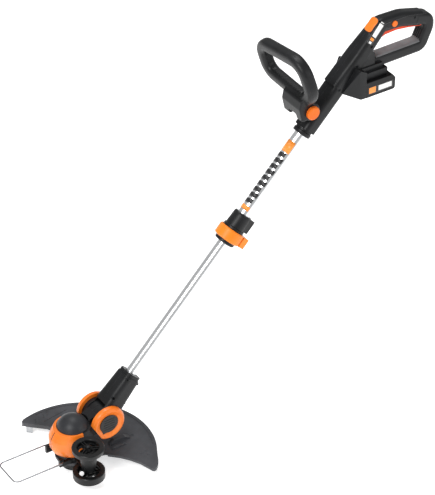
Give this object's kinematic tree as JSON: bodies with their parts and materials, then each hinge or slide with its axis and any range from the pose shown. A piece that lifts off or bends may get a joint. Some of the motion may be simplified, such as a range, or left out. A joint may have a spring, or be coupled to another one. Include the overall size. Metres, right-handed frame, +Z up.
{
  "type": "cordless lawn edger and string trimmer",
  "caption": "Battery lawn edger and string trimmer with a telescoping shaft, tilting head, guard, edging wheels, flip-down wire guard, D-shaped rear grip and loop handle.",
  "frame": {"origin": "centre of the spool cap's flat bottom, on the motor and spool axis", "axes": "+Z up along the spool axis, +X back along the ground towards the operator, +Y the operator's right-hand side"},
  "size_m": [1.0579, 0.2985, 0.8416],
  "materials": {
    "charcoal_plastic": "moulded, faint sheen",
    "housing_orange": "moulded, satin",
    "button_orange": "moulded, satin",
    "trigger_red": "moulded, satin",
    "soft_grip": "over-moulded, fine texture",
    "bright_aluminium": "drawn and brushed",
    "steel_wire": "bright drawn wire",
    "cutter_steel": "stamped",
    "screw_steel": "zinc plated",
    "spring_steel": "drawn wire",
    "spool_line": "drawn nylon line",
    "spool_plastic": "moulded",
    "motor_steel": "plated can",
    "bronze_bush": "turned",
    "nylon": "moulded",
    "lead_sheath": "extruded",
    "cell_wrap": "shrink wrap"
  },
  "bodies": {
    "handle": {"handle_shell_left": "charcoal_plastic", "handle_shell_right": "charcoal_plastic", "handle_screws": "screw_steel", "upper_tube": "bright_aluminium", "collar_sleeve": "charcoal_plastic", "clamp_collet": "charcoal_plastic", "stem_collar": "charcoal_plastic", "shaft_lead": "lead_sheath", "feed_switch": "spool_plastic", "power_switch": "spool_plastic", "trigger_pin": "screw_steel"},
    "slide_bush": {"shaft_bush": "nylon"},
    "lower_shaft": {"lower_tube": "bright_aluminium", "lower_housing_left": "charcoal_plastic", "lower_housing_right": "charcoal_plastic", "lower_housing_screws": "screw_steel", "tilt_disc_left": "housing_orange", "tilt_disc_right": "housing_orange", "tilt_pin": "screw_steel", "tilt_button_springs": "spring_steel"},
    "lock_collar": {"lock_ring": "housing_orange"},
    "head": {"motor_housing_left": "housing_orange", "motor_housing_right": "housing_orange", "neck_left": "charcoal_plastic", "neck_right": "charcoal_plastic", "dome_cap": "charcoal_plastic", "motor_can": "motor_steel", "motor_bearings": "bronze_bush", "head_base": "charcoal_plastic", "guard": "charcoal_plastic", "guard_screws": "screw_steel", "line_cutter": "cutter_steel", "wheel_bracket": "charcoal_plastic", "wheel_axle": "screw_steel", "axle_caps": "charcoal_plastic"},
    "tilt_catch_left": {"tilt_button_left": "soft_grip"},
    "tilt_catch_right": {"tilt_button_right": "soft_grip"},
    "spool_assembly": {"spool_cap": "spool_plastic", "spool_housing": "spool_plastic", "line_eyelets": "motor_steel", "spool": "nylon", "wound_line": "spool_line", "spool_spring": "spring_steel", "drive_hub": "nylon", "motor_shaft": "screw_steel", "cooling_fan": "nylon"},
    "upper_wheel": {"wheel_upper": "charcoal_plastic"},
    "lower_wheel": {"wheel_lower": "charcoal_plastic"},
    "flip_guard": {"wire_guard": "steel_wire"},
    "trigger_lever": {"trigger": "trigger_red"},
    "lock_off": {"lock_off_button": "trigger_red"},
    "feed_button": {"line_feed_button": "button_orange"},
    "loop": {"loop_handle": "charcoal_plastic", "loop_pivot_bolt": "screw_steel"},
    "loop_knob_l": {"loop_knob_left": "button_orange"},
    "loop_knob_r": {"loop_knob_right": "button_orange"},
    "battery": {"battery_case_top": "charcoal_plastic", "battery_case_bottom": "charcoal_plastic", "battery_cells": "cell_wrap"},
    "pack_latch": {"battery_latch": "soft_grip"}
  },
  "joints": [
    {"name": "shaft_slide", "type": "slide", "parent": "handle", "child": "slide_bush", "axis": [0.6915, 0, 0.7224], "range_m": [0, 0.22]},
    {"name": "shaft_twist", "type": "hinge", "parent": "slide_bush", "child": "lower_shaft", "pos_m": [0.068, 0, 0.1], "axis": [0.6915, 0, 0.7224], "range_deg": [0, 90]},
    {"name": "lock_ring_turn", "type": "hinge", "parent": "handle", "child": "lock_collar", "pos_m": [0.068, 0, 0.1], "axis": [0.6915, 0, 0.7224], "range_deg": [0, 35]},
    {"name": "head_tilt", "type": "hinge", "parent": "lower_shaft", "child": "head", "pos_m": [0.068, 0, 0.1], "axis": [0, 1, 0], "range_deg": [-46.25, 29]},
    {"name": "tilt_button_left_press", "type": "slide", "parent": "lower_shaft", "child": "tilt_catch_left", "axis": [0, 1, 0], "range_m": [0, 0.0015], "stiffness_N_per_m": 2000},
    {"name": "tilt_button_right_press", "type": "slide", "parent": "lower_shaft", "child": "tilt_catch_right", "axis": [0, -1, 0], "range_m": [0, 0.0015], "stiffness_N_per_m": 2000},
    {"name": "spool_spin", "type": "hinge", "parent": "head", "child": "spool_assembly", "pos_m": [0, 0, 0.03], "axis": [0, 0, 1], "continuous": true},
    {"name": "upper_wheel_spin", "type": "hinge", "parent": "head", "child": "upper_wheel", "pos_m": [-0.009, -0.078, 0.095], "axis": [0, 0, 1], "continuous": true},
    {"name": "lower_wheel_spin", "type": "hinge", "parent": "head", "child": "lower_wheel", "pos_m": [-0.009, -0.078, 0.033], "axis": [0, 0, 1], "continuous": true},
    {"name": "wire_guard_flip", "type": "hinge", "parent": "head", "child": "flip_guard", "pos_m": [-0.046, 0, 0.046], "axis": [0, 1, 0], "range_deg": [0, 90]},
    {"name": "trigger_pull", "type": "hinge", "parent": "handle", "child": "trigger_lever", "pos_m": [0.862, 0, 0.806], "axis": [0, 1, 0], "range_deg": [0, 3], "stiffness_Nm_per_rad": 0.6},
    {"name": "lock_off_press", "type": "slide", "parent": "handle", "child": "lock_off", "axis": [0, 1, 0], "range_m": [0, 0.003], "stiffness_N_per_m": 500},
    {"name": "line_feed_press", "type": "slide", "parent": "handle", "child": "feed_button", "axis": [0.7224, 0, -0.6915], "range_m": [0, 0.002], "stiffness_N_per_m": 700},
    {"name": "loop_tilt", "type": "hinge", "parent": "handle", "child": "loop", "pos_m": [0.573, 0, 0.692], "axis": [0, 1, 0], "range_deg": [-35, 35]},
    {"name": "loop_knob_left_turn", "type": "hinge", "parent": "loop", "child": "loop_knob_l", "pos_m": [0.573, 0, 0.692], "axis": [0, 1, 0], "range_deg": [0, 180]},
    {"name": "loop_knob_right_turn", "type": "hinge", "parent": "loop", "child": "loop_knob_r", "pos_m": [0.573, 0, 0.692], "axis": [0, 1, 0], "range_deg": [0, 180]},
    {"name": "battery_slide", "type": "slide", "parent": "handle", "child": "battery", "axis": [1, 0, 0], "range_m": [0, 0.085]},
    {"name": "pack_latch_press", "type": "slide", "parent": "battery", "child": "pack_latch", "axis": [-1, 0, 0], "range_m": [0, 0.0024], "stiffness_N_per_m": 1500}
  ]
}
